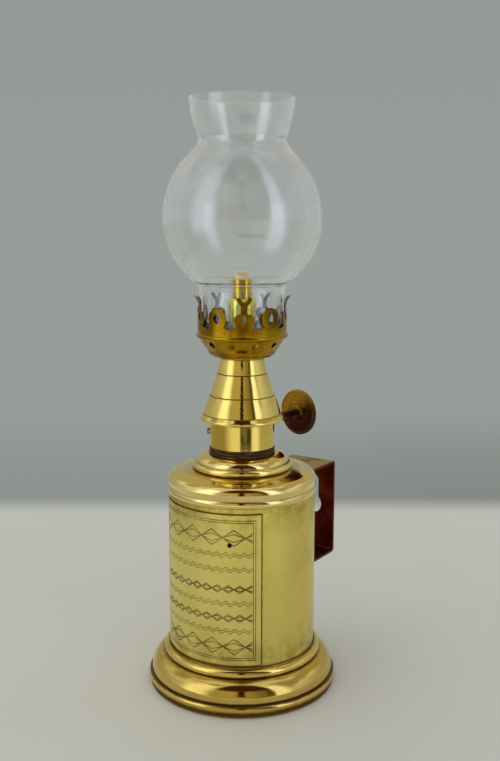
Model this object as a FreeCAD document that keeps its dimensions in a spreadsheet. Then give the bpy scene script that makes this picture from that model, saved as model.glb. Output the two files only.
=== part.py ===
import FreeCAD, Part
import math
import os
import re
import Sketcher

# Gasoline safety lamp, in millimetres.
# +Z is up, the origin is the centre of the foot's underside.
# The wall bracket faces +Y and the label plate faces -Y.

SIZES = {
    # Foot, spun from sheet with its lower edge turned in
    "foot_gauge": 0.6,
    "foot_reach": 8.6,
    "foot_lip_width": 5.0,
    "foot_bead_start": 2.2,
    "foot_bead_end": 5.0,
    "foot_bead_share": 0.36,
    "foot_dome_inset": 0.8,
    "foot_dome_end": 13.3,
    "foot_dome_share": 0.2,
    "foot_step_width": 2.0,
    "foot_step_share": 0.33,
    "foot_height": 16.7,
    "foot_collar_height": 0.6,
    # Disc that closes the foot
    "foot_plate_gauge": 0.6,
    "foot_plate_flange": 2.5,
    # Can of the reservoir
    "body_radius": 30.4,
    "body_gauge": 0.5,
    "body_sink": 3.0,
    "body_height": 68.75,
    "body_corner_radius": 1.5,
    # Plate round the front of the can
    "label_film": 0.05,
    "label_gauge": 0.25,
    "label_rise": 0.9,
    "label_margin": 6.75,
    "label_angle": 96.5,
    # Spun shoulder
    "shoulder_skirt_depth": 3.0,
    "shoulder_bead_height": 2.95,
    "shoulder_bead_share": 0.2,
    "shoulder_side_swell": 0.45,
    "shoulder_side_height": 5.5,
    "shoulder_side_share": 0.02,
    "shoulder_turn_width": 3.2,
    "shoulder_turn_height": 8.55,
    "shoulder_turn_share": 0.17,
    "shoulder_height": 9.65,
    "shoulder_crown_radius": 19.9,
    "shoulder_crown_share": 0.015,
    # Threaded ring on the shoulder
    "ring_bead_height": 2.9,
    "ring_bead_share": 0.32,
    "ring_dome_radius": 19.0,
    "ring_dome_height": 3.15,
    "ring_dome_share": 0.17,
    "ring_height": 6.1,
    "ring_land_radius": 13.7,
    "ring_bore_radius": 12.0,
    "ring_skirt_wall": 1.6,
    "ring_skirt_depth": 6.0,
    # Washers between ring and burner
    "washer_radius": 13.5,
    "washer_height": 3.1,
    "washer_groove": 0.15,
    "washer_layers": 3,
    # Collar of the burner
    "collar_radius": 13.36,
    "collar_wall": 0.7,
    "collar_height": 10.7,
    "collar_floor": 1.2,
    "spigot_length": 8.4,
    "spigot_wall": 1.0,
    # Guide plate in the collar
    "guide_gauge": 1.2,
    "guide_vent_radius": 1.4,
    "guide_vent_circle": 8.2,
    # Flange ring under the cone
    "flange_low_radius": 16.8,
    "flange_radius": 17.3,
    "flange_top_radius": 16.2,
    "flange_round_height": 1.5,
    "flange_round_share": 0.27,
    "flange_height": 2.6,
    # Burner cone
    "cone_wall": 0.6,
    "cone_foot_radius": 15.97,
    "cone_low_radius": 13.4,
    "cone_low_height": 7.75,
    "cone_high_radius": 10.3,
    "cone_high_height": 16.75,
    "cone_top_radius": 8.8,
    "cone_height": 23.7,
    "cone_step": 0.22,
    "cone_foot_share": 0.02,
    "cone_side_share": 0.012,
    # Wick tube, sleeve, carrier and wick
    "tube_radius": 3.95,
    "tube_wall": 0.45,
    "tube_rise": 31.3,
    "tube_drop": 13.0,
    "sleeve_radius": 5.65,
    "sleeve_gauge": 0.45,
    "sleeve_height": 23.2,
    "sleeve_foot_radius": 7.2,
    "sleeve_top_share": 0.15,
    "carrier_wall": 0.55,
    "carrier_drop": 16.0,
    "carrier_rise": 50.0,
    "wick_rise": 3.4,
    "wick_round": 1.9,
    "wick_round_share": 0.2,
    "wick_root": 26.0,
    "wick_gap": 0.3,
    "wick_bore_gap": 0.5,
    # Gallery bowl
    "bowl_gauge": 0.45,
    "bowl_floor_radius": 9.6,
    "bowl_bend_radius": 14.2,
    "bowl_bend_height": 2.7,
    "bowl_bend_share": 0.2,
    "bowl_rim_radius": 17.3,
    "bowl_rim_height": 7.7,
    "bowl_rim_share": 0.03,
    "bowl_height": 9.7,
    "bowl_bead_share": 0.45,
    "bowl_holes": 11,
    "bowl_hole_radius": 1.4,
    "bowl_hole_height": 5.7,
    "bowl_hole_turn": 27.7,
    # Gallery crown
    "crown_gauge": 0.45,
    "crown_radius": 18.15,
    "crown_ledge_width": 2.8,
    "crown_band_height": 3.5,
    "crown_height": 15.4,
    "crown_flare_start": 9.4,
    "crown_flare_radius": 20.0,
    "crown_flare_share": 0.12,
    "crown_pairs": 5,
    "crown_turn": 36.5,
    "leaf_root_width": 5.6,
    "leaf_root_share": 0.14,
    "leaf_width": 8.2,
    "leaf_belly_height": 6.8,
    "leaf_foot_share": 0.08,
    "loop_height": 11.2,
    "loop_share": 0.2,
    "loop_eye_width": 3.0,
    "loop_eye_low": 4.8,
    "loop_eye_high": 9.2,
    "fork_shoulder_share": 0.2,
    "fork_neck_width": 2.5,
    "fork_stem_height": 9.0,
    "fork_neck_height": 12.2,
    "fork_horn_share": 0.12,
    "fork_width": 5.0,
    "fork_notch_width": 3.8,
    "fork_notch_height": 13.3,
    "fork_eye_width": 1.7,
    "fork_eye_low": 5.4,
    "fork_eye_high": 8.6,
    "eye_share": 0.17,
    # Glass globe
    "globe_wall": 1.5,
    "globe_neck_radius": 17.4,
    "globe_neck_height": 16.0,
    "globe_root_radius": 19.6,
    "globe_root_height": 19.8,
    "globe_root_share": 0.16,
    "globe_radius": 32.0,
    "globe_belly_height": 44.8,
    "globe_lower_share": 0.117,
    "globe_top_radius": 20.1,
    "globe_top_height": 71.7,
    "globe_upper_share": 0.106,
    "globe_waist_radius": 17.5,
    "globe_waist_height": 76.5,
    "globe_waist_share": 0.1,
    "globe_mouth_radius": 21.3,
    "globe_height": 91.55,
    "globe_mouth_share": 0.03,
    # Knob, shaft and pinion, along the shaft's own axis
    "knob_azimuth": 76.9,
    "shaft_height": 9.0,
    "shaft_radius": 1.25,
    "shaft_start": 5.0,
    "shaft_tail": 0.7,
    "knob_distance": 32.9,
    "knob_radius": 9.83,
    "knob_gauge": 1.3,
    "knob_dish": 0.45,
    "knob_rim_width": 1.4,
    "knob_rim_share": 0.12,
    "knob_hub_radius": 3.6,
    "knob_hub_height": 1.2,
    "knob_hub_share": 0.15,
    "bush_radius": 1.65,
    "bush_start": 11.8,
    "bush_end": 19.0,
    "pinion_pitch_radius": 2.0,
    "pinion_teeth": 12,
    "pinion_addendum": 0.3,
    "pinion_dedendum": 0.4,
    "pinion_backlash": 0.2,
    "pinion_tip_share": 0.42,
    "pinion_flank_share": 0.08,
    "rack_pressure_angle": 20.0,
    "pinion_start": 5.3,
    "pinion_length": 2.2,
    "rack_length": 15.8,
    "rack_addendum": 0.25,
    "rack_dedendum": 0.4,
    "rack_side_gap": 0.2,
    "rack_web": 1.0,
    # Screw in the collar
    "screw_azimuth": 214.0,
    "screw_height": 5.7,
    "screw_head_radius": 1.3,
    "screw_head_height": 1.2,
    "screw_shank_radius": 0.8,
    "screw_shank_length": 2.2,
    "screw_slot_width": 0.4,
    "screw_slot_depth": 0.5,
    # Cotton filling and its screen
    "filling_headroom": 5.05,
    "filling_gap": 0.3,
    "screen_gauge": 0.5,
    "screen_holes": 16,
    "screen_hole_radius": 1.6,
    # Wall bracket
    "bracket_width": 22.0,
    "bracket_gauge": 1.0,
    "bracket_depth": 30.1,
    "bracket_height": 43.8,
    "bracket_rise": 0.75,
    "bracket_bend_radius": 1.8,
    "bracket_tab_height": 6.0,
    "keyhole_radius": 4.5,
    "keyhole_height": 21.95,
    "keyhole_slot_width": 6.0,
    "keyhole_slot_top": 36.1,
    "bracket_slit_length": 5.0,
    "bracket_slit_width": 1.0,
    "bracket_slit_inset": 8.5,
    # Fits
    "running_clearance": 0.1,
    "shaft_clearance": 0.05,
    "free_clearance": 0.3,
    "cut_overrun": 2.0,
    "bead_clearance": 0.6,
    "quarter_turn_share": 0.2071,
}

# Heights of the seats above the ground
BODY_SEAT = "(foot_height - body_sink)"
SHOULDER_SEAT = "(foot_height - body_sink + body_height)"
RING_SEAT = "(%s + shoulder_height)" % SHOULDER_SEAT
WASHER_SEAT = "(%s + ring_height)" % RING_SEAT
COLLAR_SEAT = "(%s + washer_height)" % WASHER_SEAT
FLANGE_SEAT = "(%s + collar_height)" % COLLAR_SEAT
CONE_SEAT = "(%s + flange_height)" % FLANGE_SEAT
BOWL_SEAT = "(%s + cone_height)" % CONE_SEAT
SLEEVE_SEAT = "(%s + bowl_gauge)" % BOWL_SEAT
CROWN_SEAT = "(%s + bowl_height)" % BOWL_SEAT
GLOBE_SEAT = "(%s + crown_gauge)" % CROWN_SEAT
SHAFT_SEAT = "(%s + shaft_height)" % COLLAR_SEAT

# Radii that follow from the can and from the fits
FOOT_EDGE = "(body_radius + foot_reach)"
FOOT_LIP = "(body_radius + foot_reach - foot_lip_width)"
BRACKET_BACK = "(body_radius + bracket_depth)"
LABEL_BORE = "(body_radius + label_film)"
BODY_BORE = "(body_radius - body_gauge)"
RING_SKIRT = "(ring_bore_radius + ring_skirt_wall)"
SPIGOT = "(ring_bore_radius - running_clearance)"
SPIGOT_BORE = "(ring_bore_radius - running_clearance - spigot_wall)"
COLLAR_BORE = "(collar_radius - collar_wall)"
TUBE_BORE = "(tube_radius - tube_wall)"
CARRIER = "(tube_radius - tube_wall - running_clearance)"
WICK = "(tube_radius - tube_wall - running_clearance - carrier_wall)"
WICK_BORE = "(%s + wick_bore_gap)" % WICK
CROWN_BORE = "(crown_radius - crown_gauge)"
TOOTH_PITCH = "(2 * pi * pinion_pitch_radius / pinion_teeth)"
TOOTH_HALF = "(%s / 4 - pinion_backlash / 4)" % TOOTH_PITCH
RACK_END = "(pinion_start + pinion_length + rack_side_gap)"

SHEET_ORIGIN = -1
UPRIGHT = FreeCAD.Rotation(FreeCAD.Vector(1, 0, 0), 90)
SIDEWAYS = FreeCAD.Rotation(FreeCAD.Vector(1, 1, 1), 120)
FULL_TURN = "360"

doc = FreeCAD.newDocument("gasoline_lamp")
sheet = doc.addObject("Spreadsheet::Sheet", "Sizes")
for row, (alias, number) in enumerate(SIZES.items(), start=1):
    sheet.set("A%d" % row, alias)
    sheet.set("B%d" % row, str(number))
    sheet.setAlias("B%d" % row, alias)
doc.recompute()

parts = []


def bound(text):
    """Write an expression in size names the way that another object of the document holds it."""
    return re.sub(r"[a-z][a-z_]*", lambda word: "Sizes." * (word.group() in SIZES) + word.group(), text)


def worked(text):
    """Work out an expression in size names."""
    result = sheet.evalExpression(text)
    return float(getattr(result, "Value", result))


def bind(thing, **expressions):
    for name, text in expressions.items():
        thing.setExpression(name.replace("__", "."), bound(text))


def arc_share(point):
    """Height over chord of the arc that arrives at a point, zero for a straight line."""
    return worked(str(point[2])) if len(point) > 2 else 0


def draw(sketch, points, closed=True):
    """Join points by lines and arcs, each point held by its two distances from the origin.

    A point is (x, y), or (x, y, share) where an arc arrives at it: the share is the arc's height
    over its chord, positive where it lies to the right of the way from point to point.
    """
    spots = [FreeCAD.Vector(worked(point[0]), worked(point[1]), 0) for point in points]
    pairs = [(i, i + 1) for i in range(len(points) - 1)]
    if closed:
        pairs.append((len(points) - 1, 0))
    for start, end in pairs:
        first, last = spots[start], spots[end]
        bulge = arc_share(points[end])
        if bulge:
            chord = last - first
            side = FreeCAD.Vector(chord.y, -chord.x, 0)
            middle = (first + last) / 2 + side * bulge
            sketch.addGeometry(Part.Arc(first, middle, last))
        else:
            sketch.addGeometry(Part.LineSegment(first, last))
    ends = {}
    for edge, (start, end) in enumerate(pairs):
        curve = sketch.Geometry[edge]
        begin = sketch.getPoint(edge, 1)
        ahead = (begin - spots[start]).Length <= (begin - spots[end]).Length
        ends.setdefault(start, []).append((edge, 1 if ahead else 2))
        ends.setdefault(end, []).append((edge, 2 if ahead else 1))
        if arc_share(points[end]):
            span = "sqrt((%s - (%s))^2 + (%s - (%s))^2)" % (
                points[end][0], points[start][0], points[end][1], points[start][1])
            share = "(%s)" % points[end][2]
            radius = sketch.addConstraint(Sketcher.Constraint("Radius", edge, curve.Radius))
            sketch.setExpression("Constraints[%d]" % radius, bound(
                "%s * (1 + 4 * %s^2) / (8 * abs(%s))" % (span, share, share)))
    for spot, meets in ends.items():
        if len(meets) == 2:
            sketch.addConstraint(Sketcher.Constraint("Coincident", *meets[0], *meets[1]))
        for kind, text, place in (("DistanceX", points[spot][0], spots[spot].x),
                                  ("DistanceY", points[spot][1], spots[spot].y)):
            number = sketch.addConstraint(
                Sketcher.Constraint(kind, SHEET_ORIGIN, 1, meets[0][0], meets[0][1], place))
            sketch.setExpression("Constraints[%d]" % number, bound(text))
    return sketch


def upright_sketch(name, points, closed=True):
    """Sketch in the plane of X and Z."""
    sketch = doc.addObject("Sketcher::SketchObject", name)
    sketch.Placement = FreeCAD.Placement(FreeCAD.Vector(), UPRIGHT)
    return draw(sketch, points, closed)


def revolve(name, source, along="z", angle=FULL_TURN):
    solid = doc.addObject("Part::Revolution", name)
    solid.Source = source
    solid.Axis = FreeCAD.Vector(1, 0, 0) if along == "x" else FreeCAD.Vector(0, 0, 1)
    solid.Solid = True
    bind(solid, Angle=angle)
    return solid


def turned(name, points, along="z", angle=FULL_TURN):
    """Solid of revolution from a closed outline."""
    return revolve(name, upright_sketch(name + "_outline", points), along, angle)


def lining(points, gauge):
    """Inner line of a sheet, traced back from the last point of its outer line to the first.

    The sheet lies to the left of the outer line, so the inner line is on that side.
    """
    spots = [FreeCAD.Vector(worked(point[0]), worked(point[1]), 0) for point in points]
    bulges = [arc_share(point) for point in points]
    thickness = worked(gauge)
    normals = [[] for _ in spots]
    middles = [None]
    for end in range(1, len(spots)):
        chord = spots[end] - spots[end - 1]
        half = 2 * math.atan(2 * bulges[end])
        heading = math.atan2(chord.y, chord.x)
        for spot, angle in ((end - 1, heading - half), (end, heading + half)):
            normals[spot].append(FreeCAD.Vector(-math.sin(angle), math.cos(angle), 0))
        left = FreeCAD.Vector(-chord.y, chord.x, 0)
        middle = (spots[end] + spots[end - 1]) / 2 - left * bulges[end]
        middles.append(middle + left.normalize() * thickness)
    mitres = [sum(pair, FreeCAD.Vector()) / (1 + pair[0] * pair[-1] * (len(pair) - 1)) for pair in normals]
    inner = [spot + mitre * thickness for spot, mitre in zip(spots, mitres)]
    line = []
    for number in reversed(range(len(points))):
        x = "%s + %.6f * %s" % (points[number][0], mitres[number].x, gauge)
        y = "%s + %.6f * %s" % (points[number][1], mitres[number].y, gauge)
        if number + 1 < len(points) and bulges[number + 1]:
            chord = inner[number] - inner[number + 1]
            side = FreeCAD.Vector(chord.y, -chord.x, 0)
            rise = middles[number + 1] - (inner[number] + inner[number + 1]) / 2
            line.append((x, y, rise * side / side.Length ** 2))
        else:
            line.append((x, y))
    return line


def spun(name, points, gauge):
    """Shell of revolution from the line of its outer face, as thick as the sheet inwards."""
    return turned(name, points + lining(points, gauge))


def extruded(name, sketch, length, way=(0, 1, 0), both=False):
    solid = doc.addObject("Part::Extrusion", name)
    solid.Base = sketch
    solid.DirMode = "Custom"
    solid.Dir = FreeCAD.Vector(*way)
    solid.Symmetric = both
    solid.Solid = True
    bind(solid, LengthFwd=length)
    return solid


def block(name, corner, size):
    """Box from its lowest corner and its three sides."""
    solid = doc.addObject("Part::Box", name)
    bind(solid, Length=size[0], Width=size[1], Height=size[2])
    bind(solid, Placement__Base__x=corner[0], Placement__Base__y=corner[1], Placement__Base__z=corner[2])
    return solid


def turn(solid, angle):
    solid.Placement.Rotation = FreeCAD.Rotation(FreeCAD.Vector(0, 0, 1), 1)
    bind(solid, Placement__Rotation__Angle=angle)
    return solid


def rod(name, radius, start, end, height="0", azimuth="0"):
    """Round bar that points away from the lamp's axis."""
    bar = turned(name, [(start, "0"), (end, "0"), (end, radius), (start, radius)], along="x")
    bind(bar, Placement__Base__z=height)
    return turn(bar, azimuth)


def joined(name, *solids):
    whole = doc.addObject("Part::MultiFuse", name)
    whole.Shapes = list(solids)
    return whole


def cut(name, base, *tools):
    result = doc.addObject("Part::Cut", name)
    result.Base = base
    result.Tool = tools[0] if len(tools) == 1 else joined(name + "_cuts", *tools)
    return result


def place(node, solid, height="0", azimuth="0"):
    """Name a finished sub-part, lift it to its seat and turn it to its azimuth."""
    solid.Label = node
    if azimuth != "0":
        turn(solid, azimuth)
    bind(solid, Placement__Base__z=height)
    parts.append(solid)
    return solid


def origin_plane(body, role):
    return next(item for item in body.Origin.OriginFeatures if item.Role == role)


def body_sketch(body, name, role, points, spin=None):
    """Sketch on an origin plane of its own body, turned about Z by an angle if one is given."""
    sketch = body.newObject("Sketcher::SketchObject", name)
    sketch.AttachmentSupport = (origin_plane(body, role), [""])
    sketch.MapMode = "FlatFace"
    if spin:
        sketch.AttachmentOffset = FreeCAD.Placement(
            FreeCAD.Vector(), FreeCAD.Rotation(FreeCAD.Vector(0, 1, 0), 1))
        bind(sketch, AttachmentOffset__Rotation__Angle=spin)
    return draw(sketch, points)


def body_revolution(body, points):
    sketch = body_sketch(body, body.Name + "_outline", "XZ_Plane", points)
    feature = body.newObject("PartDesign::Revolution", body.Name + "_revolution")
    feature.Profile = sketch
    feature.ReferenceAxis = (sketch, ["V_Axis"])
    feature.Angle = 360
    return feature


def body_pocket(body, sketch, length, both=False, back=False):
    feature = body.newObject("PartDesign::Pocket", sketch.Name + "_pocket")
    feature.Profile = sketch
    feature.Midplane = both
    feature.Reversed = back
    bind(feature, Length=length)
    return feature


def body_ring(body, features, count):
    """Repeat features evenly round Z."""
    feature = body.newObject("PartDesign::PolarPattern", body.Name + "_ring")
    feature.Originals = features
    feature.Axis = (origin_plane(body, "Z_Axis"), [""])
    feature.Angle = 360
    bind(feature, Occurrences=count)
    body.Tip = feature
    return feature


def foot():
    """Spun foot: turned-in lip, bead, dome, step bead and the short collar that hugs the can."""
    collar = "(body_radius + foot_gauge)"
    shell = spun("foot_shell", [
        (FOOT_LIP, "0"),
        (FOOT_EDGE, "0"),
        (FOOT_EDGE, "foot_bead_start"),
        (FOOT_EDGE + " - foot_dome_inset", "foot_bead_end", "foot_bead_share"),
        ("body_radius + foot_step_width", "foot_dome_end", "foot_dome_share"),
        (collar, "foot_height", "foot_step_share"),
        (collar, "foot_height + foot_collar_height"),
    ], "foot_gauge")
    return place("foot", shell)


def foot_plate():
    """Pressed plate that closes the foot: flush below, its flange lying on the turned-in lip."""
    plate = turned("foot_plate_disc", [
        ("0", "0"),
        (FOOT_LIP, "0"),
        (FOOT_LIP, "foot_gauge"),
        (FOOT_LIP + " + foot_plate_flange", "foot_gauge"),
        (FOOT_LIP + " + foot_plate_flange", "foot_gauge + foot_plate_gauge"),
        (FOOT_LIP + " - foot_plate_gauge", "foot_gauge + foot_plate_gauge"),
        (FOOT_LIP + " - foot_plate_gauge", "foot_plate_gauge"),
        ("0", "foot_plate_gauge"),
    ])
    return place("foot_plate", plate)


def reservoir_body():
    """Drawn can, open at the top."""
    shell = spun("can_shell", [
        ("0", "0"),
        ("body_radius - body_corner_radius", "0"),
        ("body_radius", "body_corner_radius", "quarter_turn_share"),
        ("body_radius", "body_height"),
    ], "body_gauge")
    return place("reservoir_body", shell, BODY_SEAT)


def label_plate():
    """Plate wrapped round the front of the can, on a film of solder."""
    plate = turned("label_sheet", [
        (LABEL_BORE, "0"),
        (LABEL_BORE + " + label_gauge", "0"),
        (LABEL_BORE + " + label_gauge", "body_height - label_margin"),
        (LABEL_BORE, "body_height - label_margin"),
    ], angle="label_angle")
    height = "foot_height + foot_collar_height + label_rise"
    return place("label_plate", plate, height, "-90 - label_angle / 2")


def reservoir_shoulder():
    shell = spun("shoulder_shell", [
        (BODY_BORE, "-shoulder_skirt_depth"),
        (BODY_BORE, "0"),
        ("body_radius", "0"),
        ("body_radius", "shoulder_bead_height", "shoulder_bead_share"),
        ("body_radius + shoulder_side_swell", "shoulder_side_height", "shoulder_side_share"),
        ("body_radius - shoulder_turn_width", "shoulder_turn_height", "shoulder_turn_share"),
        ("shoulder_crown_radius", "shoulder_height", "shoulder_crown_share"),
        (RING_SKIRT, "shoulder_height"),
    ], "body_gauge")
    return place("reservoir_shoulder", shell, SHOULDER_SEAT)


def neck_ring():
    ring = turned("ring_solid", [
        ("shoulder_crown_radius", "0"),
        ("shoulder_crown_radius", "ring_bead_height", "ring_bead_share"),
        ("ring_dome_radius", "ring_bead_height"),
        ("ring_dome_radius", "ring_dome_height"),
        ("ring_land_radius", "ring_height", "ring_dome_share"),
        ("ring_bore_radius", "ring_height"),
        ("ring_bore_radius", "-ring_skirt_depth"),
        (RING_SKIRT, "-ring_skirt_depth"),
        (RING_SKIRT, "0"),
    ])
    return place("neck_ring", ring, RING_SEAT)


def cotton_filling():
    radius = "(%s - filling_gap)" % BODY_BORE
    wad = turned("filling_wad", [
        (WICK_BORE, "0"),
        (radius + " - body_corner_radius", "0"),
        (radius, "body_corner_radius"),
        (radius, "body_height - filling_headroom"),
        (WICK_BORE, "body_height - filling_headroom"),
    ])
    return place("cotton_filling", wad, "%s + body_gauge" % BODY_SEAT)


def filling_screen():
    """Pierced disc that holds the filling down."""
    body = doc.addObject("PartDesign::Body", "screen")
    middle = "(%s + %s) / 2" % (BODY_BORE, WICK_BORE)
    body_revolution(body, [
        (WICK_BORE, "0"),
        (BODY_BORE, "0"),
        (BODY_BORE, "screen_gauge"),
        (WICK_BORE, "screen_gauge"),
    ])
    sketch = body.newObject("Sketcher::SketchObject", "screen_hole")
    sketch.AttachmentSupport = (origin_plane(body, "XY_Plane"), [""])
    sketch.MapMode = "FlatFace"
    centre = FreeCAD.Vector(worked(middle), 0, 0)
    circle = sketch.addGeometry(Part.Circle(centre, FreeCAD.Vector(0, 0, 1), worked("screen_hole_radius")))
    for kind, text in (("Radius", "screen_hole_radius"), ("DistanceX", middle)):
        where = (circle,) if kind == "Radius" else (SHEET_ORIGIN, 1, circle, 3)
        number = sketch.addConstraint(Sketcher.Constraint(kind, *where, worked(text)))
        sketch.setExpression("Constraints[%d]" % number, bound(text))
    sketch.addConstraint(Sketcher.Constraint("PointOnObject", circle, 3, SHEET_ORIGIN))
    hole = body_pocket(body, sketch, "2 * screen_gauge + cut_overrun", both=True)
    body_ring(body, [hole], "screen_holes")
    return place("filling_screen", body, "%s + body_gauge + body_height - filling_headroom" % BODY_SEAT)


def wall_bracket():
    """Strap bent to a square bow, with a keyhole in its back and two tabs on the can."""
    line = [
        ("body_radius / 2", "0"),
        (BRACKET_BACK + " - bracket_bend_radius", "0"),
        (BRACKET_BACK, "bracket_bend_radius", "quarter_turn_share"),
        (BRACKET_BACK, "bracket_height - bracket_bend_radius"),
        (BRACKET_BACK + " - bracket_bend_radius", "bracket_height", "quarter_turn_share"),
        ("body_radius / 2", "bracket_height"),
    ]
    strap = doc.addObject("Sketcher::SketchObject", "strap_line")
    strap.Placement = FreeCAD.Placement(FreeCAD.Vector(), SIDEWAYS)
    draw(strap, line + lining(line, "bracket_gauge"))
    bow = extruded("strap_bow", strap, "bracket_width", (1, 0, 0), both=True)

    tabs = []
    span = "2 * asin(bracket_width / 2 / body_radius)"
    for name, low in (("upper", "(bracket_height - bracket_gauge - bracket_tab_height)"),
                      ("lower", "bracket_gauge")):
        tab = turned(name + "_tab", [
            ("body_radius", low),
            ("body_radius + bracket_gauge", low),
            ("body_radius + bracket_gauge", low + " + bracket_tab_height"),
            ("body_radius", low + " + bracket_tab_height"),
        ], angle=span)
        tabs.append(turn(tab, "90 deg - asin(bracket_width / 2 / body_radius)"))

    room = doc.addObject("Part::Cylinder", "room_for_can")
    bind(room, Radius="body_radius + bead_clearance", Height="bracket_height + 2 * cut_overrun")
    bind(room, Placement__Base__z="-cut_overrun")
    back = BRACKET_BACK + " - bracket_gauge - cut_overrun"
    slot = block("keyhole_slot", ("-keyhole_slot_width / 2", back, "keyhole_height"), (
        "keyhole_slot_width",
        "bracket_gauge + 2 * cut_overrun",
        "keyhole_slot_top - keyhole_slot_width / 2 - keyhole_height",
    ))
    rounds = []
    for name, radius, height in (
            ("keyhole_round", "keyhole_radius", "keyhole_height"),
            ("keyhole_end", "keyhole_slot_width / 2", "keyhole_slot_top - keyhole_slot_width / 2")):
        hole = doc.addObject("Part::Cylinder", name)
        hole.Placement.Rotation = FreeCAD.Rotation(FreeCAD.Vector(1, 0, 0), -90)
        bind(hole, Radius=radius, Height="bracket_gauge + 2 * cut_overrun")
        bind(hole, Placement__Base__y=back, Placement__Base__z=height)
        rounds.append(hole)
    slit = block("strap_slit", (
        "-bracket_slit_length / 2",
        BRACKET_BACK + " - bracket_slit_inset",
        "bracket_height - bracket_gauge - cut_overrun",
    ), ("bracket_slit_length", "bracket_slit_width", "bracket_gauge + 2 * cut_overrun"))
    pierced = cut("pierced_bow", bow, room, slot, slit, *rounds)
    height = SHOULDER_SEAT + " + bracket_rise - bracket_height"
    return place("wall_bracket", joined("bracket", pierced, *tabs), height)


def neck_washer():
    """Packing of thin washers, which show as layers at the edge."""
    bore = "(ring_bore_radius + free_clearance)"
    layer = "washer_height / washer_layers"
    edge = [(bore, "washer_height"), (bore, "0")]
    for number in range(int(worked("washer_layers"))):
        low = "%d * %s" % (number, layer)
        edge += [
            ("washer_radius - washer_groove", low),
            ("washer_radius", "%s + washer_groove" % low),
            ("washer_radius", "%s + %s - washer_groove" % (low, layer)),
        ]
    edge.append(("washer_radius - washer_groove", "washer_height"))
    return place("neck_washer", turned("washer_stack", edge), WASHER_SEAT)


def burner_collar():
    """Hollow cylinder with its threaded spigot, bored for the shaft bush and for the screw."""
    shell = turned("collar_shell", [
        (SPIGOT_BORE, "-spigot_length"),
        (SPIGOT, "-spigot_length"),
        (SPIGOT, "0"),
        ("collar_radius", "0"),
        ("collar_radius", "collar_height"),
        (COLLAR_BORE, "collar_height"),
        (COLLAR_BORE, "collar_floor"),
        (SPIGOT_BORE, "collar_floor"),
    ])
    bush_hole = rod("bush_hole", "bush_radius", SPIGOT_BORE, "collar_radius + cut_overrun", "shaft_height")
    screw_hole = rod("screw_hole", "screw_shank_radius", SPIGOT_BORE, "collar_radius + cut_overrun",
                     "screw_height", "screw_azimuth - knob_azimuth")
    return place("burner_collar", cut("collar", shell, bush_hole, screw_hole), COLLAR_SEAT, "knob_azimuth")


def guide_plate():
    """Disc in the collar with the hole of the carrier, the slot of the rack and vents."""
    disc = turned("guide_disc", [
        ("0", "0"),
        (COLLAR_BORE, "0"),
        (COLLAR_BORE, "guide_gauge"),
        ("0", "guide_gauge"),
    ])
    hole = doc.addObject("Part::Cylinder", "carrier_hole")
    bind(hole, Radius=CARRIER + " + running_clearance", Height="guide_gauge + 2 * cut_overrun")
    bind(hole, Placement__Base__z="-cut_overrun")
    slot = block("rack_slot", (
        "0",
        "pinion_pitch_radius - rack_addendum - free_clearance",
        "-cut_overrun",
    ), (
        RACK_END + " + free_clearance",
        "rack_web + rack_addendum + rack_dedendum + 2 * free_clearance",
        "guide_gauge + 2 * cut_overrun",
    ))
    vents = []
    for number, angle in enumerate(("150", "210", "270", "330")):
        vent = doc.addObject("Part::Cylinder", "vent_%d" % number)
        bind(vent, Radius="guide_vent_radius", Height="guide_gauge + 2 * cut_overrun")
        bind(vent, Placement__Base__x="guide_vent_circle * cos(%s)" % angle)
        bind(vent, Placement__Base__y="guide_vent_circle * sin(%s)" % angle)
        bind(vent, Placement__Base__z="-cut_overrun")
        vents.append(vent)
    plate = cut("guide", disc, hole, slot, *vents)
    return place("guide_plate", plate, COLLAR_SEAT + " + collar_floor", "knob_azimuth")


def cone_flange():
    rounding = "flange_radius - (flange_radius - flange_low_radius) / 3"
    ring = turned("flange_ring", [
        (COLLAR_BORE, "0"),
        ("flange_low_radius", "0"),
        (rounding, "flange_round_height", "flange_round_share"),
        ("flange_top_radius", "flange_height"),
        (COLLAR_BORE, "flange_height"),
    ])
    return place("cone_flange", ring, FLANGE_SEAT)


def burner_cone():
    """Three slightly swelling steps under a flat top that holds the wick tube."""
    low_in = "(cone_low_radius - cone_step - cone_wall)"
    high_in = "(cone_high_radius - cone_step - cone_wall)"
    shell = turned("cone_shell", [
        ("cone_foot_radius", "0"),
        ("cone_low_radius", "cone_low_height", "cone_foot_share"),
        ("cone_low_radius - cone_step", "cone_low_height + cone_step"),
        ("cone_high_radius", "cone_high_height", "cone_side_share"),
        ("cone_high_radius - cone_step", "cone_high_height + cone_step"),
        ("cone_top_radius", "cone_height", "cone_side_share"),
        ("tube_radius", "cone_height"),
        ("tube_radius", "cone_height - cone_wall"),
        ("cone_top_radius - cone_wall", "cone_height - cone_wall"),
        (high_in, "cone_high_height"),
        (low_in, "cone_low_height"),
        ("cone_foot_radius - cone_wall", "0"),
    ])
    return place("burner_cone", shell, CONE_SEAT)


def wick_tube():
    tube = turned("tube_solid", [
        (TUBE_BORE, "-tube_drop"),
        ("tube_radius", "-tube_drop"),
        ("tube_radius", "tube_rise"),
        (TUBE_BORE, "tube_rise"),
    ])
    return place("wick_tube", tube, BOWL_SEAT)


def tube_sleeve():
    """Sleeve round the wick tube, with a foot flange and a top drawn in to the tube."""
    shell = spun("sleeve_shell", [
        ("sleeve_foot_radius", "sleeve_gauge"),
        ("sleeve_radius", "sleeve_gauge"),
        ("sleeve_radius", "sleeve_height - (sleeve_radius - tube_radius) / 2"),
        ("tube_radius", "sleeve_height", "sleeve_top_share"),
    ], "sleeve_gauge")
    return place("tube_sleeve", shell, SLEEVE_SEAT)


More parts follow.
